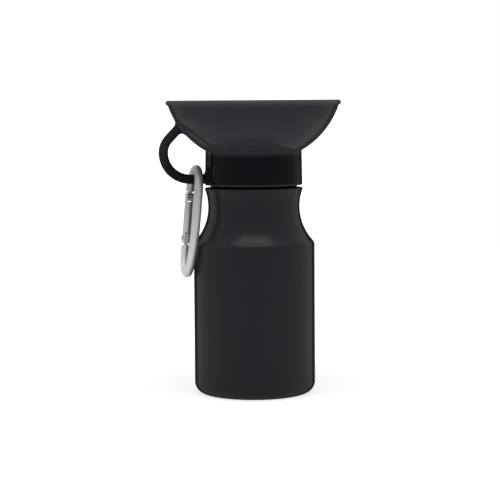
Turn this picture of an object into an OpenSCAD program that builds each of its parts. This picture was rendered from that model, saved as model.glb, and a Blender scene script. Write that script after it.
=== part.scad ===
// Travel water bottle for dogs: a squeeze bottle that screws into a flared drinking bowl.
// Unscrewed half a turn, a squeeze lifts water up the dip tube, past the stopper and into the bowl.
// Released, the bottle draws it back. A ring on the bowl carries a spring-gate carabiner.
// Units are millimetres. The bottle stands on z = 0 with its axis on Z; the ring points to -X.

/* [Bottle] */
// Outer diameter of the body
body_d = 75; // [74:0.5:76]
// Rounding between the body and its base
base_round = 7; // [5:0.5:8]
// Depth of the dish under the base
dish_h = 1.8; // [1:0.1:3]
// Width of the foot ring
foot_w = 4.5; // [3:0.5:7]
// Height of the waist, where the shoulder is narrowest
waist_z = 116; // [112:1:120]
// Diameter of the waist
waist_d = 56.6; // [56:0.2:58]
// Radius of the hollow curve from body to waist
shoulder_r = 31.5; // [29:0.5:34]
// Rounding between the shoulder and the body
corner_r = 4; // [3:0.5:6]
// Height of the shoulder's top edge above the waist
lip_rise = 10.8; // [9.8:0.2:12]
// Wall of the squeezable bottle
bottle_wall = 1.6; // [1.2:0.1:2.2]

/* [Neck] */
// Height of the neck above the shoulder
neck_h = 16.2; // [15.6:0.2:18]
// Outer diameter of the neck, without its thread
neck_d = 51.6; // [51:0.1:52.2]
// Wall of the neck
neck_wall = 2.4; // [2:0.1:2.8]
// Room for the thread between the neck and the collar
thread_room = 1.6; // [1.4:0.1:1.8]
// How far the bead under the collar stands out from the neck
bead_out = 0.9; // [0.6:0.1:1.3]
// Height of the bead
bead_h = 1.6; // [1:0.1:2]
// Groove between the shoulder and the bead
bead_rise = 0.9; // [0.6:0.1:1.4]

/* [Bowl] */
// Height of the bowl from the roof of its collar to its rim
bowl_h = 36; // [32:0.5:40]
// Radius of the bowl's flared side
flare_r = 51; // [49:0.5:53]
// Distance of that curve's centre from the axis
flare_off = 4.4; // [3:0.2:6]
// Height of that curve's centre above the rim
flare_rise = 13.2; // [12:0.2:15]
// Wall of the bowl
bowl_wall = 2.4; // [1.8:0.1:3]
// Radius of the rolled bead round the rim
rim_bead_r = 1.6; // [1.2:0.1:2]
// Diameter of the well at the bottom of the bowl
well_d = 49; // [46:0.5:52]
// Thickness of the bowl's floor
floor_t = 2.4; // [2:0.1:3.2]
// Number of drain slots in the floor
drains = 6; // [4:1:8]
// Share of the circle that the drain slots take
drain_share = 0.68; // [0.5:0.02:0.8]

/* [Collar] */
// Wall of the collar at its lower edge
collar_wall = 2.7; // [2.4:0.1:3.2]
// Inward taper of the collar's side, from bottom to top
collar_draft = 0.35; // [0:0.05:0.5]

/* [Ring handle] */
// Inner radius of the ring's upper bend
ring_r = 9.5; // [8.8:0.1:10.4]
// Inner radius of the ring's lower bend
ring_low_r = 13.5; // [12.5:0.1:14.5]
// How far the ring stands out from the collar
ring_out = 28.5; // [27:0.1:30]
// Height of the ring's lower arm above the collar's lower edge
ring_rise = 0.5; // [0.3:0.1:1]
// Thickness of the strap
strap_t = 5.7; // [5.2:0.1:6]
// Width of the strap
strap_w = 8; // [7:0.5:9]
// Rounding along the strap's edges
strap_round = 2.4; // [1.6:0.1:2.5]
// Fillet where the strap runs into the bowl and the collar
ring_fillet = 3; // [1.5:0.1:3.4]

/* [Valve] */
// Gap between the insert's cup and the neck's bore
cup_gap = 0.4; // [0.3:0.05:0.6]
// Wall of the insert's cup
cup_wall = 2; // [1.8:0.1:2.4]
// Depth of the insert's cup below the neck's rim
cup_depth = 9; // [8.6:0.1:10.5]
// Thickness of the cup's floor
cup_floor_t = 2; // [1.6:0.1:2.6]
// Thickness of the insert's flange
flange_t = 1.6; // [1.2:0.1:2]
// Radius of the valve seat at its mouth
seat_r = 6.6; // [6.2:0.1:7.2]
// Radius of the valve seat at its throat
throat_r = 4.2; // [3.6:0.1:4.6]
// Height of the valve seat's cone
seat_h = 3.4; // [3:0.1:4]
// Gap between the skirt below the bowl's floor and the cup
skirt_gap = 0.4; // [0.3:0.05:0.6]
// Wall of the skirt
skirt_wall = 2.8; // [2.4:0.1:3.4]
// Length of the skirt
skirt_h = 7; // [6.4:0.1:8]
// Height of the valve seat's mouth above the cup's floor
seat_rise = 2.8; // [2.4:0.1:3.2]
// Radius of the hub under the middle of the bowl's floor
hub_r = 6; // [5.4:0.1:6.4]
// Width of the drain slots
drain_w = 6; // [5.2:0.1:6.6]

/* [Dip tube] */
// Outer diameter of the dip tube
tube_d = 8; // [7:0.1:9]
// Wall of the dip tube
tube_wall = 1; // [0.8:0.1:1.3]
// Height of the dip tube's mouth above the bottle's floor
tube_lift = 4; // [2:0.5:8]
// Length of the socket that grips the dip tube
socket_h = 12; // [8:0.5:16]

/* [Carabiner] */
// Overall length of the carabiner
clip_len = 70; // [68:0.5:74]
// Diameter of the carabiner's rod
rod_d = 5.4; // [5:0.1:5.6]
// Radius of the rod's centre line round the upper bend
clip_r = 15.3; // [14.8:0.1:16]
// Radius of the rod's centre line round the lower bend
clip_low_r = 12; // [11:0.5:13]
// Length of the spine's straight upper part
spine_run = 14; // [12:0.5:18]
// Distance of the gate's pivot below the centre of the upper bend
pivot_drop = 26.9; // [25:0.1:28]
// Distance from the collar's side to where the carabiner hangs
hang_off = 6.9; // [6.6:0.1:8]
// Turn of the carabiner about the upright
clip_yaw = 11.4; // [9:0.1:12]
// Swing of the carabiner in its own plane at rest
clip_tilt = 8; // [7:0.5:10]
// Thickness of the tang and of the nose
tang_t = 2.2; // [1.8:0.1:2.4]
// Radius of the rivet's shank
rivet_r = 0.9; // [0.8:0.05:1]
// Radius of the latch pin
latch_r = 0.75; // [0.65:0.05:0.8]
// Diameter of the gate spring's wire
wire_d = 0.5; // [0.4:0.05:0.55]
// Turns of the gate spring
spring_turns = 8; // [6:1:9]

/* [Hidden] */
$fn = 96;

// Clearances
screw_gap = 0.4;
part_gap = 0.3;
seat_gap = 0.2;
fit_gap = 0.05;
hang_gap = 0.62;
rivet_gap = 0.08;
press_gap = 0.01;
slide_gap = 0.1;
coil_gap = 0.2;

// How far a cut runs past the surface it opens
past = 1;

// Colours
black_gloss = "#101014";
black_satin = "#28282c";
natural = "#d8dadb";
silicone = "#b9bcc0";
seal_black = "#1d1d1f";
bare_alloy = "#b8b8ba";
bright_steel = "#8f9194";

// Bottle
body_r = body_d / 2;
dish_edge = 4;
waist_r = waist_d / 2;
neck_r = neck_d / 2;
neck_bore_r = neck_r - neck_wall;
bead_r = neck_r + bead_out;
bead_edge = 0.4;
shoulder_c = [waist_r + shoulder_r, waist_z];
corner_reach = shoulder_c[0] - body_r + corner_r;
corner_c = [body_r - corner_r, waist_z - sqrt(pow(shoulder_r + corner_r, 2) - pow(corner_reach, 2))];
corner_a = atan2(shoulder_c[1] - corner_c[1], shoulder_c[0] - corner_c[0]);
edge_round = 1;
shoulder_top = waist_z + lip_rise;
bead_z = shoulder_top + bead_rise;
neck_top = shoulder_top + neck_h;

// Collar and bowl
collar_bore_r = neck_r + thread_room;
collar_r = collar_bore_r + collar_wall;
collar_edge = 0.8;
collar_z = bead_z + bead_h + screw_gap;
flange_top = neck_top + flange_t;
roof_gap = 1;
roof_z = flange_top + roof_gap;
floor_z = roof_z + floor_t;
rim_z = roof_z + bowl_h;
flare_c = [flare_off, rim_z + flare_rise];
function flare_x(z, inset = 0) =
    flare_off + sqrt(pow(flare_r - inset, 2) - pow(flare_c[1] - z, 2));
collar_top_r = collar_r - collar_draft;
collar_top_z = flare_c[1] - sqrt(pow(flare_r, 2) - pow(collar_top_r - flare_off, 2));
well_r = well_d / 2;
rim_bead_z = rim_z - rim_bead_r;
rim_bead_in = 0.7;
rim_bead_x = flare_x(rim_bead_z) - rim_bead_in;

// Valve
cup_r = neck_bore_r - cup_gap;
cup_bore_r = cup_r - cup_wall;
cup_floor_z = neck_top - cup_depth + cup_floor_t;
seat_z = cup_floor_z + seat_rise;
seat_low = seat_z - seat_h;
throat_h = 3.4;
socket_top = seat_low - throat_h;
socket_wall = 1.7;
skirt_r = cup_bore_r - skirt_gap;
skirt_bore_r = skirt_r - skirt_wall;
skirt_z = roof_z - skirt_h;
groove_h = 2;
groove_land = 1.6;
skirt_groove_z = skirt_z + groove_land;
skirt_groove_d = 1.4;
skirt_seal_d = 1.6;
cup_groove_drop = 4.6;
cup_groove_z = neck_top - cup_groove_drop;
cup_groove_d = 1.1;
cup_seal_d = 1.3;
hub_h = 2.2;
hub_z = roof_z - hub_h;
hub_land = 2.4;
drain_r = hub_r + hub_land;
stopper_top = hub_z - part_gap;
stopper_lip = 0.8;
stopper_r = seat_r + stopper_lip;
stopper_edge = 0.6;
bulb_r = 2.7;
bulb_h = 2.4;
hub_pin_h = 3.1;
hub_pin_r = 1.8;
bulb_z = stopper_top - bulb_h - hub_pin_h;

// Ring handle, in the plane of X and Z
arm_z = collar_z + ring_rise;
arm_top = arm_z + strap_t;
ring_left = -collar_r - ring_out;
ring_c = [ring_left + strap_t + ring_r, arm_top + ring_low_r];
ring_low_c = [ring_left + strap_t + ring_low_r, arm_top + ring_low_r];
// Where the strap leaves the upper bend, turned from +X
strap_a = 137;
strap_dir = [sin(strap_a), -cos(strap_a)];
web_inset = 0.8;

// Straight runs are a hair thicker than the bends and reach into them, so they join as one
weld = 0.03;
weld_run = 0.6;

// Carabiner, in its own frame: X across towards the gate, Z up, origin at the upper bend's centre
rod_r = rod_d / 2;
hang_x = -collar_r - hang_off;
bend_in_r = clip_r - rod_r;
// It leans out as far as the bottle's side makes it
clip_lean = atan2(body_r + part_gap + rod_r + hang_x, arm_top - bend_in_r - corner_c[1]);
hang_z = arm_top + hang_gap - bend_in_r * cos(clip_lean);
low_c = [clip_r - clip_low_r, -(clip_len - clip_r - rod_r) + rod_r + clip_low_r];
bow_dx = low_c[0] + clip_r;
bow_dz = low_c[1] + spine_run;
bow_r = (pow(bow_dx, 2) + pow(bow_dz, 2) - pow(clip_low_r, 2)) / (2 * (bow_dx - clip_low_r));
bow_c = [bow_r - clip_r, -spine_run];
bow_a = atan2(low_c[1] - bow_c[1], low_c[0] - bow_c[0]) + 360;
low_join = low_c + clip_low_r * [cos(bow_a), sin(bow_a)];
latch_z = -0.6;
latch_x = clip_r - 0.2;
notch_w = 6;
nose_z = 2.6;
nose_a = asin(nose_z / clip_r);
nose_low = latch_z - 2.8;
nose_inset = 0.4;
nose_edge = 0.6;
nose_bevel = 0.4;
nose_root = 1.6;
tang_h = 2.2;
gate_top = 1.6;
gate_low = -pivot_drop - 3.1;
rod_stop = -pivot_drop - 4.5;
fork_t = tang_t + 2 * part_gap;
fork_low = latch_z - 3.6;
gate_bore_r = 1.75;
bore_low = -pivot_drop + 3.4;
plunger_low = -pivot_drop + tang_h + seat_gap;
plunger_h = 4.6;
plunger_head_h = 1;
plunger_edge = [0.25, 0.4];
rivet_out = 0.1;
rivet_head_h = 0.5;
rivet_head_out = 0.7;
spring_h = 9.6;
spring_r = gate_bore_r - wire_d / 2 - coil_gap;
bore_top = plunger_low + plunger_h + spring_h;

// Points along an arc
function arc(c, r, a0, a1, n = 16) =
    [for (i = [0:n]) let (a = a0 + (a1 - a0) * i / n) c + r * [cos(a), sin(a)]];

// Where a line from p along d first meets the circle about c
function line_hit(p, d, c, r) =
    let (q = p - c, b = q * d, k = q * q - r * r)
    p + (-b - sqrt(b * b - k)) * d;

function unit(v) = v / norm(v);

// A corner's web: the triangle between two tangents, less the fillet's circle
module web(corner, d1, d2, r) {
    half = acos(d1 * d2) / 2;
    run = r / tan(half);
    difference() {
        polygon([corner - unit(d1 + d2), corner + run * d1, corner + run * d2]);
        translate(corner + r / sin(half) * unit(d1 + d2)) circle(r);
    }
}

module in_xz() {
    rotate([90, 0, 0]) children();
}

// ---- Bottle -------------------------------------------------------------------------------

module bottle_outline() {
    foot_r = body_r - base_round;
    edge_a = 180 - asin((lip_rise - edge_round) / shoulder_r);
    edge_x = shoulder_c[0] + shoulder_r * cos(edge_a);
    polygon(concat(
        [[0, dish_h], [foot_r - foot_w - dish_edge, dish_h], [foot_r - foot_w, 0]],
        arc([foot_r, base_round], base_round, -90, 0),
        arc(corner_c, corner_r, 0, corner_a, 8),
        arc(shoulder_c, shoulder_r, 180 + corner_a, edge_a, 32),
        arc([edge_x - edge_round, shoulder_top - edge_round], edge_round, 30, 90, 4),
        [[neck_r, shoulder_top], [neck_r, bead_z], [bead_r - bead_edge, bead_z]],
        [[bead_r, bead_z + bead_edge], [bead_r, bead_z + bead_h - bead_edge]],
        [[bead_r - bead_edge, bead_z + bead_h], [neck_r, bead_z + bead_h + bead_edge / 2]],
        [[neck_r, neck_top - bead_edge], [neck_r - bead_edge, neck_top], [0, neck_top]]));
}

module bottle_void() {
    foot_r = body_r - base_round;
    floor_top = dish_h + bottle_wall;
    polygon(concat(
        [[0, floor_top], [foot_r - foot_w - dish_edge, floor_top], [foot_r - foot_w, bottle_wall]],
        arc([foot_r, base_round], base_round - bottle_wall, -90, 0),
        arc(corner_c, corner_r - bottle_wall, 0, corner_a, 8),
        arc(shoulder_c, shoulder_r + bottle_wall, 180 + corner_a, 180, 24),
        [[neck_bore_r, waist_z + lip_rise / 2], [neck_bore_r, neck_top + past], [0, neck_top + past]]));
}

module bottle() {
    color(black_satin)
        rotate_extrude()
            difference() {
                bottle_outline();
                bottle_void();
            }
}

// ---- Valve insert, its seal and the dip tube ----------------------------------------------

module tube_insert() {
    socket_r = tube_d / 2 + fit_gap;
    spigot_r = socket_r + socket_wall;
    cup_low = cup_floor_z - cup_floor_t;
    seat_wall = 1.6;
    boss_r = seat_r + seat_wall;
    color(natural)
        rotate_extrude()
            difference() {
                union() {
                    translate([0, cup_low]) square([cup_r, neck_top - cup_low]);
                    translate([0, neck_top]) square([neck_r - bead_edge, flange_t]);
                    translate([0, socket_top - socket_h]) square([spigot_r, socket_h + throat_h]);
                }
                difference() {
                    translate([0, cup_floor_z]) square([cup_bore_r, flange_top - cup_floor_z + past]);
                    polygon([[0, 0], [boss_r + seat_wall / 2, cup_floor_z], [boss_r, seat_z], [0, seat_z]]);
                }
                polygon([[0, seat_low], [throat_r, seat_low], [seat_r, seat_z], [0, seat_z + past]]);
                square([tube_d / 2 - tube_wall, seat_z]);
                square([socket_r, socket_top]);
                translate([cup_r - cup_groove_d, cup_groove_z]) square([cup_wall, groove_h]);
            }
}

module ring_seal(reach, d, z) {
    rotate_extrude() translate([reach - d / 2, z]) circle(d = d);
}

module insert_seal() {
    color(seal_black)
        ring_seal(neck_bore_r - fit_gap, cup_seal_d, cup_groove_z + groove_h / 2);
}

module dip_tube() {
    low = dish_h + bottle_wall + tube_lift;
    color(natural)
        difference() {
            translate([0, 0, low]) cylinder(d = tube_d, h = socket_top - fit_gap - low);
            translate([0, 0, low - past]) cylinder(d = tube_d - 2 * tube_wall, h = socket_top);
            // the mouth is cut on a slant, so the floor can't close it
            translate([0, 0, low])
                rotate([0, 30, 0])
                    translate([0, 0, -tube_d]) cube([4 * tube_d, 4 * tube_d, 2 * tube_d], center = true);
        }
}

// ---- Stopper ------------------------------------------------------------------------------

module stopper() {
    chamber_r = bulb_r + part_gap;
    cone_gap = 1.2 * seat_gap;
    color(silicone)
        rotate_extrude()
            difference() {
                polygon([
                    [0, seat_low + seat_gap], [throat_r - cone_gap, seat_low + seat_gap],
                    [seat_r - cone_gap, seat_z], [seat_r - cone_gap, seat_z + part_gap],
                    [stopper_r, seat_z + part_gap], [stopper_r, stopper_top - stopper_edge],
                    [stopper_r - stopper_edge, stopper_top], [0, stopper_top]]);
                translate([0, bulb_z - part_gap]) square([chamber_r, bulb_h + 2 * part_gap]);
                translate([0, bulb_z]) square([hub_pin_r + 2 * fit_gap, stopper_top - bulb_z + past]);
            }
}

// ---- Bowl, collar and ring handle ---------------------------------------------------------

module bowl_section() {
    low_out = asin((flare_c[1] - collar_top_z) / flare_r);
    rim_out = asin((flare_c[1] - rim_bead_z) / flare_r);
    inner_r = flare_r - bowl_wall;
    lip = 0.8;
    rim_in = asin((flare_c[1] - rim_z + lip) / inner_r);
    well_in = acos((well_r - flare_off) / inner_r);
    difference() {
        union() {
            polygon(concat(
                [[0, roof_z], [collar_top_r, roof_z]],
                arc(flare_c, flare_r, -low_out, -rim_out, 24),
                [[rim_bead_x, rim_z], [flare_x(rim_z, bowl_wall) + lip, rim_z]],
                arc(flare_c, inner_r, -rim_in, -well_in, 24),
                [[well_r, floor_z + lip], [well_r - lip, floor_z], [0, floor_z]]));
            translate([rim_bead_x, rim_bead_z]) circle(rim_bead_r);
            polygon([
                [collar_bore_r, collar_z + collar_edge], [collar_bore_r + collar_edge, collar_z],
                [collar_r - collar_edge, collar_z], [collar_r, collar_z + collar_edge],
                [collar_top_r, collar_top_z], [collar_bore_r, roof_z + floor_t / 2]]);
            translate([skirt_bore_r, skirt_z]) square([skirt_wall, skirt_h + floor_t / 2]);
            translate([0, hub_z]) square([hub_r, roof_z - hub_z + floor_t / 2]);
            translate([0, bulb_z]) square([hub_pin_r, roof_z - bulb_z]);
            polygon([
                [0, bulb_z], [bulb_r - stopper_edge, bulb_z], [bulb_r, bulb_z + bulb_h / 2],
                [bulb_r, bulb_z + bulb_h], [0, bulb_z + bulb_h]]);
        }
        translate([skirt_r - skirt_groove_d, skirt_groove_z]) square([skirt_wall, groove_h]);
    }
}

module drain_slots() {
    step = 360 / drains;
    for (i = [0:drains - 1])
        rotate([0, 0, i * step + 90 - step * drain_share / 2])
            rotate_extrude(angle = step * drain_share)
                translate([drain_r, roof_z - past]) square([drain_w, floor_t + 2 * past]);
}

module strap_section(grow = 0) {
    flat_t = strap_t - 2 * strap_round;
    flat_w = strap_w - 2 * strap_round;
    square([flat_t, strap_w + 2 * grow], center = true);
    square([strap_t + 2 * grow, flat_w], center = true);
    for (x = [-1, 1], y = [-1, 1])
        translate([x * flat_t / 2, y * flat_w / 2]) circle(strap_round + grow, $fn = 48);
}

module strap_run(p, d, len) {
    translate([p[0], 0, p[1]])
        rotate([0, atan2(d[0], d[1]), 0])
            translate([0, 0, -weld_run]) linear_extrude(len + weld_run) strap_section(weld);
}

module strap_bend(c, r, a0, a1) {
    translate([c[0], 0, c[1]])
        in_xz() rotate([0, 0, a0]) rotate_extrude(angle = a1 - a0)
            translate([r + strap_t / 2, 0]) strap_section();
}

module ring_handle() {
    out = [cos(strap_a), sin(strap_a)];
    up_end = ring_c + (ring_r + strap_t / 2) * out;
    in_end = ring_c + ring_r * out;
    out_end = ring_c + (ring_r + strap_t) * out;
    bowl_c = [-flare_c[0], flare_c[1]];
    in_hit = line_hit(in_end, strap_dir, bowl_c, flare_r);
    out_hit = line_hit(out_end, strap_dir, bowl_c, flare_r);
    in_side = unit([bowl_c[1] - in_hit[1], in_hit[0] - bowl_c[0]]);
    out_side = unit([bowl_c[1] - out_hit[1], out_hit[0] - bowl_c[0]]);
    up_run = max(norm(in_hit - in_end), norm(out_hit - out_end)) + bowl_wall;
    web_w = strap_w - 2 * web_inset;
    arm_run = collar_wall / 2 - collar_r - ring_low_c[0];
    // Nearly the whole quarter circle below the curve's centre
    wall_a = 80;
    difference() {
        union() {
            strap_bend(ring_c, ring_r, strap_a, 180);
            strap_bend(ring_low_c, ring_low_r, 180, 270);
            // sleeve where the two bends meet
            strap_run([ring_left + strap_t / 2, ring_c[1]], [0, 1], weld_run);
            strap_run(up_end, strap_dir, up_run);
            strap_run([ring_low_c[0], arm_z + strap_t / 2], [1, 0], arm_run);
            in_xz() linear_extrude(web_w, center = true) {
                web(in_hit, -strap_dir, in_side, ring_fillet);
                web(out_hit, -strap_dir, -out_side, ring_fillet);
                web([-collar_r, arm_top], [-1, 0], [0, 1], ring_fillet * 0.7);
            }
        }
        // the strap ends inside the wall of the bowl and of the collar
        rotate_extrude()
            union() {
                polygon(concat(
                    [[0, roof_z]],
                    arc(flare_c, flare_r - bowl_wall / 2, -wall_a, 0, 40),
                    [[0, flare_c[1]]]));
                square([collar_bore_r + collar_wall / 3, flare_c[1]]);
            }
    }
}

module bowl() {
    color(black_gloss)
        difference() {
            union() {
                rotate_extrude() bowl_section();
                ring_handle();
            }
            drain_slots();
        }
}

module skirt_seal() {
    color(seal_black)
        ring_seal(cup_bore_r - 2 * fit_gap, skirt_seal_d, skirt_groove_z + groove_h / 2);
}

// ---- Carabiner ----------------------------------------------------------------------------

// Hangs what is drawn in the carabiner's own frame on the ring's lower arm
module hung() {
    translate([hang_x, 0, hang_z])
        rotate([0, clip_lean, 0])
            rotate([0, 0, 90 + clip_yaw])
                rotate([0, clip_tilt, 0])
                    children();
}

module rod_arc(c, r, a0, a1) {
    translate([c[0], 0, c[1]])
        in_xz() rotate([0, 0, a0]) rotate_extrude(angle = a1 - a0, $fn = 180)
            translate([r, 0]) circle(rod_r, $fn = 48);
}

module rod_up(x, z0, z1, grow = weld) {
    translate([x, 0, z0]) cylinder(r = rod_r + grow, h = z1 - z0, $fn = 48);
}

module across(x, z, r, len = 4 * rod_r) {
    translate([x, 0, z]) rotate([90, 0, 0]) cylinder(r = r, h = len, center = true, $fn = 32);
}

module plate(t = 4 * rod_r) {
    in_xz() linear_extrude(t, center = true) children();
}

module carabiner_body() {
    nose_in = clip_r - rod_r + nose_inset;
    nose_out = clip_r + rod_r - nose_inset;
    color(bare_alloy) hung() {
        difference() {
            union() {
                rod_arc([0, 0], clip_r, nose_a, 180);
                rod_up(-clip_r, -spine_run - weld_run, weld_run);
                rod_arc(bow_c, bow_r, 180, bow_a);
                translate([low_join[0], 0, low_join[1]])
                    rotate([0, 180 - bow_a, 0]) rod_up(0, -weld_run, weld_run);
                rod_arc(low_c, clip_low_r, bow_a, 360);
                rod_up(clip_r, low_c[1] - weld_run, rod_stop);
                // tang under the gate
                plate(tang_t)
                    translate([clip_r - tang_h, rod_stop - past])
                        square([2 * tang_h, -pivot_drop + tang_h - rod_stop + past]);
                // hooked nose above the gate
                plate(tang_t)
                    polygon([
                        [nose_in, nose_low + nose_bevel], [nose_out - nose_edge, nose_low],
                        [nose_out, nose_low + nose_edge], [nose_out, nose_z + nose_root],
                        [nose_in, nose_z + nose_root]]);
            }
            across(clip_r, -pivot_drop, rivet_r + press_gap);
            // notch that holds the latch pin
            plate()
                translate([latch_x, latch_z]) {
                    circle(latch_r + part_gap, $fn = 32);
                    translate([-notch_w, -latch_r - part_gap]) square([notch_w, 2 * (latch_r + part_gap)]);
                }
        }
    }
}

module gate_rivet() {
    head_r = rivet_r + rivet_head_out;
    color(bright_steel) hung() {
        across(clip_r, -pivot_drop, rivet_r, rod_d + 2 * rivet_out);
        for (s = [-1, 1])
            translate([clip_r, s * (rod_r + rivet_out), -pivot_drop])
                rotate([-90 * s, 0, 0])
                    rotate_extrude($fn = 48)
                        polygon([
                            [0, 0], [head_r, 0], [head_r - slide_gap, rivet_head_h * 0.6],
                            [rivet_r, rivet_head_h], [0, rivet_head_h]]);
    }
}

module carabiner_gate() {
    color(bare_alloy) hung() {
        difference() {
            rod_up(clip_r, gate_low, gate_top, 0);
            // upper fork round the nose, lower fork round the tang
            translate([0, -fork_t / 2, fork_low])
                cube([2 * clip_r, fork_t, gate_top - fork_low + past]);
            translate([0, -fork_t / 2, gate_low - past])
                cube([2 * clip_r, fork_t, bore_low - gate_low + past]);
            translate([clip_r, 0, bore_low - past])
                cylinder(r = gate_bore_r, h = bore_top - bore_low + past, $fn = 48);
            across(clip_r, -pivot_drop, rivet_r + rivet_gap);
            across(latch_x, latch_z, latch_r + press_gap);
        }
    }
}

module latch_pin() {
    color(bright_steel) hung()
        across(latch_x, latch_z, latch_r, rod_d - part_gap);
}

module spring_plunger() {
    shank_r = (fork_t - part_gap) / 2;
    head_r = gate_bore_r - slide_gap;
    head_z = plunger_h - plunger_head_h;
    color(bright_steel) hung()
        translate([clip_r, 0, plunger_low])
            rotate_extrude($fn = 48)
                polygon([
                    [0, 0], [shank_r - plunger_edge[0], 0], [shank_r, plunger_edge[1]],
                    [shank_r, head_z], [head_r, head_z], [head_r, plunger_h], [0, plunger_h]]);
}

// One unbroken wire: rings of a tube swept along a helix whose ends run straight
module coil(r, wire, turns, height) {
    sides = 6;
    per_turn = 8;
    rise = height - wire - 2 * fit_gap;
    steps = turns * per_turn;
    pitch = rise / turns;
    slope = unit([2 * PI * r, pitch]);
    function along(a) = [-sin(a) * slope[0], cos(a) * slope[0], slope[1]];
    function spot(i) = [r * cos(i * 360 / per_turn), r * sin(i * 360 / per_turn), i * pitch / per_turn];
    path = concat(
        [[spot(0) - wire * along(0), 0]],
        [for (i = [0:steps]) [spot(i), i * 360 / per_turn]],
        [[spot(steps) + wire * along(0), steps * 360 / per_turn]]);
    rings = [for (p = path)
        let (out = [cos(p[1]), sin(p[1]), 0], up = cross(out, along(p[1])))
        for (k = [0:sides - 1])
            p[0] + wire / 2 * (cos(k * 360 / sides) * out + sin(k * 360 / sides) * up)];
    last = len(path) - 1;
    faces = concat(
        [[for (k = [sides - 1:-1:0]) k]],
        [for (i = [0:last - 1], k = [0:sides - 1])
            let (a = i * sides + k, b = i * sides + (k + 1) % sides)
            each [[a, b, a + sides], [b, b + sides, a + sides]]],
        [[for (k = [0:sides - 1]) last * sides + k]]);
    gap = min([for (i = [0:steps - per_turn]) norm(spot(i + per_turn) - spot(i)) - wire]);
    echo(str("least gap between the spring's turns: ", gap, " mm"));
    polyhedron(rings, faces);
}

module gate_spring() {
    color(bright_steel) hung()
        translate([clip_r, 0, plunger_low + plunger_h + wire_d / 2 + fit_gap])
            coil(spring_r, wire_d, spring_turns, spring_h);
}

bottle();
tube_insert();
insert_seal();
dip_tube();
stopper();
bowl();
skirt_seal();
carabiner_body();
gate_rivet();
carabiner_gate();
latch_pin();
gate_spring();
spring_plunger();
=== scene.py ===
"""Dresses the dog travel water bottle: finishes, screw threads, the edges and marks that the
solids lack, and a plain white studio seen by the photograph's camera."""

import math

import bmesh
import bpy
from mathutils import Matrix, Vector


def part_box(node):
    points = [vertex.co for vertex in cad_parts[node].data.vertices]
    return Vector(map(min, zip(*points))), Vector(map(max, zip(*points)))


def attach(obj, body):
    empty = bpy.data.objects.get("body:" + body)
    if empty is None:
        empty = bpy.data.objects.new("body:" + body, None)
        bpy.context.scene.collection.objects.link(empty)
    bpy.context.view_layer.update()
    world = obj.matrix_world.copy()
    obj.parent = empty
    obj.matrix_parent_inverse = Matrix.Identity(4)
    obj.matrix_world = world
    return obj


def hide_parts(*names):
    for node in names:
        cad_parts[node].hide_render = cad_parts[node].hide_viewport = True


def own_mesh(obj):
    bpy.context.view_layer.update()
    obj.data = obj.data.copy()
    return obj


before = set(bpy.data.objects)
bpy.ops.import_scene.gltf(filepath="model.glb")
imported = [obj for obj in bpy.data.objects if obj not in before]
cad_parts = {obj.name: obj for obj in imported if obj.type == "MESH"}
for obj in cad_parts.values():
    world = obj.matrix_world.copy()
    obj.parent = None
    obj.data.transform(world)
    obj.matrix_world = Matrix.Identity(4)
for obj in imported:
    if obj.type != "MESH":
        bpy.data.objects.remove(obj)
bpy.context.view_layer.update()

MM = 0.001


def link(name, data):
    """Puts an object of this name in the scene."""
    made = bpy.data.objects.new(name, data)
    bpy.context.scene.collection.objects.link(made)
    return made


# ---- Camera, as the photograph was taken --------------------------------------------------

FOCAL_PX = 1720
FRAME_PX = 500
SENSOR_MM = 36
FARTHEST = 50
CAMERA_AT = (-0.0026, -1.064, 0.1816)
CAMERA_DOWN = math.radians(4.984)
CAMERA_ROLL = math.radians(-0.4)


def make_camera():
    data = bpy.data.cameras.new("photo_camera")
    data.sensor_fit = "HORIZONTAL"
    data.sensor_width = SENSOR_MM
    data.lens = SENSOR_MM * FOCAL_PX / FRAME_PX
    data.clip_end = FARTHEST
    camera = link("photo_camera", data)
    look = Matrix.Rotation(math.pi / 2 - CAMERA_DOWN, 4, "X")
    roll = Matrix.Rotation(CAMERA_ROLL, 4, "Z")
    camera.matrix_world = Matrix.Translation(CAMERA_AT) @ look @ roll
    bpy.context.scene.camera = camera


# ---- Node helpers -------------------------------------------------------------------------

# The gloss starts to fall at the first of these shares of turning away, and is gone at the second.
GLOSS_FALLS = (0.24, 0.72)


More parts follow.
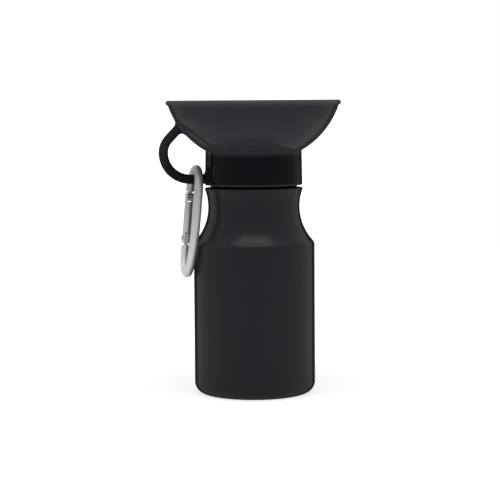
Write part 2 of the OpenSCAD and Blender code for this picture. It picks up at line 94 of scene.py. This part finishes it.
class Finish:
    """One procedural material: a Principled shader and the nodes that feed it."""

    def __init__(self, name, **sockets):
        self.material = bpy.data.materials.new(name)
        self.material.use_nodes = True
        self.tree = self.material.node_tree
        self.shader = self.tree.nodes["Principled BSDF"]
        self.place = self.tree.nodes.new("ShaderNodeTexCoord").outputs["Object"]
        self.x, self.y, self.z = self.node("ShaderNodeSeparateXYZ", {"Vector": self.place}).outputs
        for key, value in sockets.items():
            self.shader.inputs[key.replace("_", " ")].default_value = value

    def node(self, kind, inputs, **settings):
        """Makes a node; an input is linked if it is given a socket, and set otherwise."""
        made = self.tree.nodes.new(kind)
        for key, value in settings.items():
            setattr(made, key, value)
        for key, value in inputs.items():
            if isinstance(value, bpy.types.NodeSocket):
                self.tree.links.new(value, made.inputs[key])
            else:
                made.inputs[key].default_value = value
        return made

    def set(self, socket, value):
        self.tree.links.new(value, self.shader.inputs[socket])

    def math(self, operation, first, second=0.0):
        return self.node("ShaderNodeMath", {0: first, 1: second}, operation=operation).outputs[0]

    def times(self, first, second):
        return self.math("MULTIPLY", first, second)

    def diagonal(self, first, second):
        squares = self.math("ADD", self.times(first, first), self.times(second, second))
        return self.math("SQRT", squares)

    def ramp(self, value, low, high, to_low, to_high):
        inputs = {"Value": value, "From Min": low, "From Max": high,
                  "To Min": to_low, "To Max": to_high}
        return self.node("ShaderNodeMapRange", inputs).outputs["Result"]

    def rising(self, length, span):
        """Nothing below the span, which is in millimetres, and one above it."""
        return self.ramp(length, span[0] * MM, span[1] * MM, 0, 1)

    def falling(self, length, span):
        """One below the span, which is in millimetres, and nothing above it."""
        return self.ramp(length, span[0] * MM, span[1] * MM, 1, 0)

    def noise(self, scale, detail):
        inputs = {"Vector": self.place, "Scale": scale, "Detail": detail}
        return self.node("ShaderNodeTexNoise", inputs).outputs["Fac"]

    def patchy(self, scale, detail, low, high, reach=0.2):
        """A number that drifts from low to high; a short reach gives it sharper patches."""
        return self.ramp(self.noise(scale, detail), 0.5 - reach, 0.5 + reach, low, high)

    def mix(self, share, first, second):
        """A colour between two others. The node's sockets go by number, as their names repeat."""
        inputs = {0: share, 6: first, 7: second}
        return self.node("ShaderNodeMix", inputs, data_type="RGBA").outputs[2]

    def mottle(self, scale, detail, first, second):
        """A colour that drifts between two others, each given as red, green and blue."""
        return self.mix(self.noise(scale, detail), (*first, 1), (*second, 1))

    def gloss(self, level):
        """Sets the specular level, which falls towards the edges as on fine moulded grain."""
        facing = self.node("ShaderNodeLayerWeight", {"Blend": 0.5}).outputs["Facing"]
        self.set("Specular IOR Level", self.times(level, self.ramp(facing, *GLOSS_FALLS, 1, 0)))

    def bump(self, *layers):
        """Adds bump layers, each a noise's scale and detail and a depth in millimetres."""
        inputs = {"Strength": 1.0}
        for scale, detail, depth in layers:
            inputs["Height"] = self.noise(scale, detail)
            inputs["Distance"] = depth * MM
            inputs["Normal"] = self.node("ShaderNodeBump", inputs).outputs["Normal"]
        self.set("Normal", inputs["Normal"])


# ---- Finishes -----------------------------------------------------------------------------

# The flare's outside is an arc, whose centre lies on a ring about the axis. In metres.
FLARE_RING_R = 4.4 * MM
FLARE_RING_Z = 194.8 * MM

# Spans in millimetres over which the finishes change. All are heights, apart from three.
FLARE_OUTSIDE = (51.2, 51.5)    # distance from the flare's ring
COLLAR_OUTSIDE = (30.2, 30.4)   # distance from the axis
RING_ROOT = (-33.5, -32.5)      # X
RIM_BEAD = (176.5, 177)
# Painted highlight: above this span the rim's rolled lip is painted paler.
RIM_TOP = (177, 178.5)
# Painted light: below this span the lower flare, which faces down, is painted paler than the upper
# flare.
FLARE_PAINTED_LIGHT = (152, 174)
# Painted shade: below this span the upright foot band, which takes more light than the flare, is
# painted darker.
FOOT_TOP = (150, 151.2)
COLLAR_TOP = (147.4, 149.5)
RING_PALES = (134, 150)
# Below this span the collar's lower edge gets a painted highlight.
PAINTED_EDGE_HIGHLIGHT = (130, 130.4)
GROOVE_LOW = (127.6, 127.8)
GROOVE_HIGH = (129.4, 129.6)
RUBBED_BODY = (92, 96)
# Painted light on the carabiner: bright below this span and darker above it.
METAL_PAINTED_LIGHT = (78, 128)

# What the nodes feed. The plain Roughness and Specular_IOR_Level that each Finish is given are
# for the exported model and for viewers that can't read the nodes.
BOTTLE_GLOSS = 0.165
THICK_GLOSS = 0.055
THIN_GLOSS = 0.08
RUBBED_ROUGHER = 0.08

BOWL_SKINS = {
    "lower_flare_painted_light": ((0.0385, 0.0365, 0.0455), (0.0425, 0.0405, 0.0505)),
    "high_flare": ((0.0205, 0.0193, 0.0252), (0.0228, 0.0215, 0.0278)),
    "rim": ((0.04, 0.0395, 0.0435), (0.044, 0.0435, 0.0475)),
    "foot": ((0.0185, 0.0172, 0.0228), (0.021, 0.0197, 0.0258)),
    "collar": ((0.0022, 0.0018, 0.0038), (0.0028, 0.0024, 0.0045)),
    "ring": ((0.013, 0.0122, 0.016), (0.015, 0.0142, 0.0182)),
    "painted_edge_highlight": ((0.028, 0.0265, 0.033), (0.032, 0.0305, 0.037)),
}


def bottle_finish():
    """Satin polyethylene, rubbed on the straight body, with deep shade in the neck's groove."""
    f = Finish("bottle_ldpe", Roughness=0.26, Specular_IOR_Level=0.14, IOR=1.5,
               Sheen_Weight=0.04, Sheen_Roughness=0.5)
    skin = f.mottle(60, 4, (0.005, 0.0042, 0.0078), (0.0062, 0.0054, 0.0092))
    shade = f.mottle(60, 4, (0.0006, 0.0005, 0.0008), (0.0009, 0.0008, 0.0012))
    groove = f.times(f.rising(f.z, GROOVE_LOW), f.falling(f.z, GROOVE_HIGH))
    f.set("Base Color", f.mix(groove, skin, shade))
    f.gloss(f.ramp(groove, 0, 1, BOTTLE_GLOSS, 0))
    rubbed = f.times(f.falling(f.z, RUBBED_BODY), RUBBED_ROUGHER)
    f.set("Roughness", f.math("ADD", rubbed, f.patchy(900, 3, 0.22, 0.3)))
    f.bump((2600, 2, 0.018), (40, 2, 0.12))
    return f.material


def thin_share(f):
    """One on the bowl's flare, rim and foot, and nothing on its thick collar and ring."""
    out = f.diagonal(f.x, f.y)
    reach = f.diagonal(f.math("SUBTRACT", out, FLARE_RING_R),
                       f.math("SUBTRACT", f.z, FLARE_RING_Z))
    side = f.falling(reach, FLARE_OUTSIDE)
    rim = f.rising(f.z, RIM_BEAD)
    foot = f.times(f.rising(f.z, COLLAR_TOP), f.falling(out, COLLAR_OUTSIDE))
    return f.math("MAXIMUM", f.math("MAXIMUM", side, rim), foot)


def bowl_finish():
    """Polypropylene, paler where it is thin, with painted light and shade on the flare, rim and
    foot and a painted highlight on the collar's lower edge.
    """
    f = Finish("bowl_pp", Roughness=0.14, Specular_IOR_Level=0.06, IOR=1.49,
               Sheen_Weight=0.05, Sheen_Roughness=0.4)
    skin = {name: f.mottle(80, 3, *colours) for name, colours in BOWL_SKINS.items()}
    # Painted light: the downward-facing lower flare is painted paler than the upper flare.
    thin = f.mix(f.rising(f.z, FLARE_PAINTED_LIGHT), skin["lower_flare_painted_light"], skin["high_flare"])
    # Painted shade: the upright foot band is painted darker than the flare.
    thin = f.mix(f.falling(f.z, FOOT_TOP), thin, skin["foot"])
    # Painted highlight: the rim's rolled lip is painted paler than the flare.
    thin = f.mix(f.rising(f.z, RIM_TOP), thin, skin["rim"])
    ring = f.times(f.falling(f.x, RING_ROOT), f.rising(f.z, RING_PALES))
    thick = f.mix(ring, skin["collar"], skin["ring"])
    share = thin_share(f)
    colour = f.mix(share, thick, thin)
    # Painted highlight along the collar's rounded lower edge, where it catches light.
    f.set("Base Color", f.mix(f.falling(f.z, PAINTED_EDGE_HIGHLIGHT), colour, skin["painted_edge_highlight"]))
    f.gloss(f.ramp(share, 0, 1, THICK_GLOSS, THIN_GLOSS))
    f.set("Roughness", f.patchy(260, 4, 0.09, 0.19, reach=0.15))
    f.bump((1500, 2, 0.004), (55, 2, 0.06))
    return f.material


def aluminium_finish():
    """Satin aluminium with painted light: darker at the top and painted bright at the lower end.
    """
    f = Finish("satin_aluminium", Metallic=0.85, Roughness=0.4)
    dull = f.mottle(120, 4, (0.32, 0.321, 0.323), (0.38, 0.381, 0.383))
    bright = f.mottle(120, 4, (0.56, 0.561, 0.563), (0.64, 0.641, 0.643))
    # Painted light: the metal is painted bright at its lower end and darker at its top.
    f.set("Base Color", f.mix(f.falling(f.z, METAL_PAINTED_LIGHT), dull, bright))
    f.set("Roughness", f.patchy(700, 4, 0.42, 0.58))
    f.bump((2400, 3, 0.012), (260, 2, 0.03))
    return f.material


def even_finish(name, colour, patches, grain, **sockets):
    """A finish that is alike all over: mottled colour, patches of roughness and fine grain."""
    f = Finish(name, **sockets)
    f.set("Base Color", f.mottle(*colour))
    f.set("Roughness", f.patchy(*patches))
    f.bump(grain)
    return f.material


FINISHES = {
    "bottle_ldpe": bottle_finish(),
    "bowl_pp": bowl_finish(),
    "natural_plastic": even_finish(
        "natural_plastic", colour=(90, 3, (0.63, 0.65, 0.66), (0.7, 0.71, 0.71)),
        patches=(700, 3, 0.3, 0.42), grain=(1800, 2, 0.01),
        Roughness=0.35, IOR=1.5, Subsurface_Weight=0.35, Subsurface_Scale=0.004),
    "silicone": even_finish(
        "silicone", colour=(140, 3, (0.42, 0.43, 0.45), (0.5, 0.51, 0.53)),
        patches=(900, 2, 0.45, 0.6), grain=(2200, 2, 0.01),
        Roughness=0.5, IOR=1.43, Subsurface_Weight=0.3, Subsurface_Scale=0.002),
    "black_rubber": even_finish(
        "black_rubber", colour=(300, 3, (0.01, 0.01, 0.011), (0.018, 0.018, 0.019)),
        patches=(1500, 3, 0.5, 0.7), grain=(3000, 2, 0.01), Roughness=0.6, IOR=1.5),
    "satin_aluminium": aluminium_finish(),
    "steel": even_finish(
        "steel", colour=(300, 3, (0.46, 0.465, 0.475), (0.56, 0.565, 0.57)),
        patches=(1500, 3, 0.2, 0.36), grain=(3000, 2, 0.01), Metallic=1.0, Roughness=0.28),
}

NODE_SLOTS = {
    "bottle": "bottle_ldpe",
    "bowl": "bowl_pp",
    "tube_insert": "natural_plastic",
    "dip_tube": "natural_plastic",
    "insert_seal": "black_rubber",
    "skirt_seal": "black_rubber",
    "stopper": "silicone",
    "carabiner_body": "satin_aluminium",
    "carabiner_gate": "satin_aluminium",
    "gate_rivet": "steel",
    "latch_pin": "steel",
    "gate_spring": "steel",
    "spring_plunger": "steel",
}


def dress(piece, slot):
    piece.data.materials.clear()
    piece.data.materials.append(FINISHES[slot])


# ---- Mesh helpers -------------------------------------------------------------------------

def polar(r, angle, z):
    return (r * math.cos(angle), r * math.sin(angle), z)


def wrap(mesh, rings, closed=False):
    """Skins a row of rings; the last meets the first if closed, and else both ends are capped."""
    following = rings[1:] + rings[:1] if closed else rings[1:]
    for a, b in zip(rings, following):
        for k in range(len(a)):
            after = (k + 1) % len(a)
            mesh.faces.new((a[k], a[after], b[after], b[k]))
    if not closed:
        mesh.faces.new(rings[0])
        mesh.faces.new(rings[-1])


def smooth_piece(name, mesh):
    """Makes a smooth-shaded object of a finished mesh."""
    data = bpy.data.meshes.new(name)
    mesh.to_mesh(data)
    mesh.free()
    for polygon in data.polygons:
        polygon.use_smooth = True
    return link(name, data)


# ---- Screw threads ------------------------------------------------------------------------

NECK_R = 25.8 * MM
BORE_R = 27.4 * MM
BEAD_TOP = 129.3 * MM
NECK_THREAD_STARTS = 2 * MM     # above the bead
NECK_THREAD_ENDS = 2 * MM       # below the neck's top
COLLAR_THREAD_STARTS = 2.2 * MM
COLLAR_THREAD_ENDS = 1 * MM

THREAD_LEAD = 6 * MM
THREAD_HEIGHT = 1.25 * MM
THREAD_ROOT = 2.2 * MM
THREAD_CREST = 0.9 * MM
THREAD_BEVEL = 0.12 * MM
THREAD_BEVEL_LOW = 0.85         # share of the height
THREAD_SUNK = 0.15 * MM
THREAD_LEAST = 0.05 * MM        # half the width at the root where the thread starts
THREAD_STEP = math.radians(4)
THREAD_FADE = 8                 # steps


def thread(name, root_r, outward, low, high, phase):
    """A helical ridge between two heights, which fades in and out at its ends."""
    mesh = bmesh.new()
    steps = round((high - low) / THREAD_LEAD * math.tau / THREAD_STEP)
    rings = []
    for i in range(steps + 1):
        turn = i * THREAD_STEP
        z = low + turn / math.tau * THREAD_LEAD
        share = min(1, min(i, steps - i) / THREAD_FADE)
        rise = THREAD_HEIGHT * math.sin(share * math.pi / 2)
        knee = rise * THREAD_BEVEL_LOW
        crest = THREAD_CREST / 2 * share
        root = THREAD_ROOT / 2 * share + THREAD_LEAST
        profile = [(-THREAD_SUNK, -root), (knee, -crest - THREAD_BEVEL), (rise, -crest),
                   (rise, crest), (knee, crest + THREAD_BEVEL), (-THREAD_SUNK, root)]
        rings.append([mesh.verts.new(polar(root_r + outward * out, turn + phase, z + up))
                      for out, up in profile])
    wrap(mesh, rings)
    bmesh.ops.recalc_face_normals(mesh, faces=mesh.faces)
    return smooth_piece(name, mesh)


# ---- Edges of the shoulder and the collar, where the photograph has them -------------------

# In millimetres. The shoulder's hollow curve repeats the bottle's.
WAIST_R = 28.3
WAIST_Z = 116
SHOULDER_R = 31.5
LIP_INSIDE_R = 27
LIP_LOW = 123.6
LIP_TOP = 127.62
LIP_ROUND = 0.55
LIP_PROUD = 0.05
LIP_ROWS = 11
LIP_HIDDEN_ROWS = 1.5
LIP_EMERGING_ROWS = 5
LIP_ARC_STEPS = 6
COLLAR_EDGE = [(27.5, 130.6), (27.5, 129.55), (27.8, 129.35), (29.3, 129.35), (29.75, 129.42),
               (29.98, 129.6), (30.09, 129.9), (30.1, 130.6)]
TURN_STEPS = 192
SHARP_FROM = math.radians(35)


def shoulder_r(z):
    return WAIST_R + SHOULDER_R - math.sqrt(SHOULDER_R ** 2 - (z - WAIST_Z) ** 2)


def lip_profile():
    """Comes out of the shoulder's hollow curve and carries it up to a rounded top edge."""
    high = LIP_TOP - LIP_ROUND
    points = [(LIP_INSIDE_R, LIP_LOW)]
    for i in range(LIP_ROWS + 1):
        z = LIP_LOW + (high - LIP_LOW) * i / LIP_ROWS
        proud = min(LIP_PROUD, (i - LIP_HIDDEN_ROWS) / LIP_EMERGING_ROWS * LIP_PROUD)
        points.append((shoulder_r(z) + proud, z))
    centre = shoulder_r(high) + LIP_PROUD - LIP_ROUND
    for i in range(1, LIP_ARC_STEPS + 1):
        a = math.pi / 2 * i / LIP_ARC_STEPS
        points.append((centre + LIP_ROUND * math.cos(a), high + LIP_ROUND * math.sin(a)))
    return points + [(LIP_INSIDE_R, LIP_TOP)]


def turned(name, profile):
    """Turns a closed profile in millimetres about the bottle's axis."""
    mesh = bmesh.new()
    rings = []
    for i in range(TURN_STEPS):
        a = math.tau * i / TURN_STEPS
        rings.append([mesh.verts.new(polar(r * MM, a, z * MM)) for r, z in profile])
    wrap(mesh, rings, closed=True)
    bmesh.ops.recalc_face_normals(mesh, faces=mesh.faces)
    piece = smooth_piece(name, mesh)
    piece.data.set_sharp_from_angle(angle=SHARP_FROM)
    return piece


# ---- Weld line in the base ----------------------------------------------------------------

WELD_LENGTH = 26 * MM
WELD_WIDTH = 0.9 * MM
WELD_HEIGHT = 0.35 * MM
WELD_SUNK = 0.1 * MM
WELD_STEPS = 24
WELD_SIDES = 8
DISH_Z = 1.8 * MM


def pinch_off(name):
    """The low welded ridge that a blow-moulded base keeps where the mould closed."""
    mesh = bmesh.new()
    rings = []
    for i in range(WELD_STEPS + 1):
        share = 2 * i / WELD_STEPS - 1
        fade = math.sqrt(max(0.0, 1 - share ** 8))
        ring = []
        for k in range(WELD_SIDES + 1):
            a = math.pi * k / WELD_SIDES
            down = (WELD_HEIGHT * fade + WELD_SUNK) * math.sin(a) - WELD_SUNK
            ring.append(mesh.verts.new((WELD_WIDTH / 2 * fade * math.cos(a),
                                        WELD_LENGTH / 2 * share, DISH_Z - down)))
        rings.append(ring)
    wrap(mesh, rings)
    bmesh.ops.remove_doubles(mesh, verts=mesh.verts, dist=1e-7)
    bmesh.ops.recalc_face_normals(mesh, faces=mesh.faces)
    return smooth_piece(name, mesh)


# ---- Spring in the carabiner's gate -------------------------------------------------------

def gate_coil():
    """The gate's spring as its own piece, which rides with the gate."""
    coil = link("gate_coil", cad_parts["gate_spring"].data.copy())
    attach(coil, "gate")
    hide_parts("gate_spring")
    dress(coil, "steel")
    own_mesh(coil)


# ---- Studio -------------------------------------------------------------------------------

# The floor bends up into a backdrop. In metres.
SWEEP_SIDE = 0.3
SWEEP_FRONT = -0.35
SWEEP_BACK = 1.2
SWEEP_BEND = 0.4
SWEEP_TOP = 0.9
SWEEP_BEND_STEPS = 24

# The floor's glow goes from NEAR_GLOW beside the object to plain white farther out.
FLOOR_GREY = 0.3
NEAR_GLOW = 0.72
NEAR_R = 0.07
FAR_R = 0.3

# The room's light goes from ROOM_FRONT to ROOM_BACK over a span of the direction's Y.
ROOM_FRONT = 1.35
ROOM_BACK = 0.25
ROOM_SPAN = (-0.6, 0.45)

LAMP_AT = (0, -0.25, 1.3)
LAMP_SIDE = 1.0
LAMP_WATTS = 10


def eased(tree, value, low, high, to_low, to_high):
    """A smooth step from one level to another."""
    made = tree.nodes.new("ShaderNodeMapRange")
    made.interpolation_type = "SMOOTHSTEP"
    levels = {"From Min": low, "From Max": high, "To Min": to_low, "To Max": to_high}
    for key, level in levels.items():
        made.inputs[key].default_value = level
    tree.links.new(value, made.inputs["Value"])
    return made.outputs["Result"]


def joined(tree, operation, first, second):
    made = tree.nodes.new("ShaderNodeMath")
    made.operation = operation
    tree.links.new(first, made.inputs[0])
    tree.links.new(second, made.inputs[1])
    return made.outputs[0]


def seen_ray(tree):
    """One for rays from the camera, from shiny surfaces and through clear ones; else nothing."""
    rays = tree.nodes.new("ShaderNodeLightPath").outputs
    shiny_or_clear = joined(tree, "MAXIMUM", rays["Is Glossy Ray"], rays["Is Transmission Ray"])
    return joined(tree, "MAXIMUM", rays["Is Camera Ray"], shiny_or_clear)


def sweep_paint():
    """Pale paint that takes the shadow; away from the object its glow makes it plain white."""
    paint = bpy.data.materials.new("sweep_paint")
    paint.use_nodes = True
    tree = paint.node_tree
    shader = tree.nodes["Principled BSDF"]
    shader.inputs["Base Color"].default_value = (FLOOR_GREY, FLOOR_GREY, FLOOR_GREY, 1)
    shader.inputs["Roughness"].default_value = 0.9
    shader.inputs["Specular IOR Level"].default_value = 0.0
    shader.inputs["Emission Color"].default_value = (1, 1, 1, 1)
    far = tree.nodes.new("ShaderNodeVectorMath")
    far.operation = "LENGTH"
    tree.links.new(tree.nodes.new("ShaderNodeTexCoord").outputs["Object"], far.inputs[0])
    glow = eased(tree, far.outputs["Value"], NEAR_R, FAR_R, NEAR_GLOW, 1.0)
    level = joined(tree, "MULTIPLY", seen_ray(tree), glow)
    tree.links.new(level, shader.inputs["Emission Strength"])
    return paint


def make_sweep():
    profile = [(SWEEP_FRONT, 0)]
    for i in range(SWEEP_BEND_STEPS + 1):
        a = math.pi / 2 * i / SWEEP_BEND_STEPS
        profile.append((SWEEP_BACK + SWEEP_BEND * math.sin(a), SWEEP_BEND * (1 - math.cos(a))))
    profile.append((SWEEP_BACK + SWEEP_BEND, SWEEP_TOP))
    mesh = bmesh.new()
    rows = [[mesh.verts.new((x, y, z)) for x in (-SWEEP_SIDE, SWEEP_SIDE)] for y, z in profile]
    for a, b in zip(rows, rows[1:]):
        mesh.faces.new((a[0], a[1], b[1], b[0]))
    sweep = smooth_piece("sweep", mesh)
    sweep.data.materials.append(sweep_paint())


def make_room():
    """A room that lights the object from the front; cameras and shiny surfaces see it as white."""
    world = bpy.data.worlds.new("room")
    world.use_nodes = True
    bpy.context.scene.world = world
    tree = world.node_tree
    split = tree.nodes.new("ShaderNodeSeparateXYZ")
    tree.links.new(tree.nodes.new("ShaderNodeTexCoord").outputs["Generated"], split.inputs[0])
    light = tree.nodes["Background"]
    light.inputs["Color"].default_value = (1, 1, 1, 1)
    level = eased(tree, split.outputs["Y"], *ROOM_SPAN, ROOM_FRONT, ROOM_BACK)
    tree.links.new(level, light.inputs["Strength"])
    white = tree.nodes.new("ShaderNodeBackground")
    white.inputs["Color"].default_value = (1, 1, 1, 1)
    both = tree.nodes.new("ShaderNodeMixShader")
    tree.links.new(seen_ray(tree), both.inputs[0])
    tree.links.new(light.outputs[0], both.inputs[1])
    tree.links.new(white.outputs[0], both.inputs[2])
    tree.links.new(both.outputs[0], tree.nodes["World Output"].inputs["Surface"])


def make_lamp():
    """A soft box overhead, which faces straight down."""
    data = bpy.data.lights.new("top_box", "AREA")
    data.shape = "SQUARE"
    data.size = LAMP_SIDE
    data.energy = LAMP_WATTS
    link("top_box", data).location = LAMP_AT


# ---- Scene --------------------------------------------------------------------------------

for node, slot in NODE_SLOTS.items():
    dress(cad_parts[node], slot)

make_camera()
make_sweep()
make_room()
make_lamp()
bpy.context.scene.view_settings.view_transform = "Standard"

neck_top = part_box("bottle")[1].z
male = thread("neck_thread", NECK_R, 1, BEAD_TOP + NECK_THREAD_STARTS,
              neck_top - NECK_THREAD_ENDS, 0)
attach(male, "bottle")
dress(male, "bottle_ldpe")
female = thread("collar_thread", BORE_R, -1, BEAD_TOP + COLLAR_THREAD_STARTS,
                neck_top - COLLAR_THREAD_ENDS, math.pi)
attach(female, "bowl")
dress(female, "bowl_pp")

gate_coil()
weld = pinch_off("base_pinch_off")
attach(weld, "bottle")
dress(weld, "bottle_ldpe")
lip = turned("shoulder_lip", lip_profile())
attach(lip, "bottle")
dress(lip, "bottle_ldpe")
edge = turned("collar_edge", COLLAR_EDGE)
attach(edge, "bowl")
dress(edge, "bowl_pp")
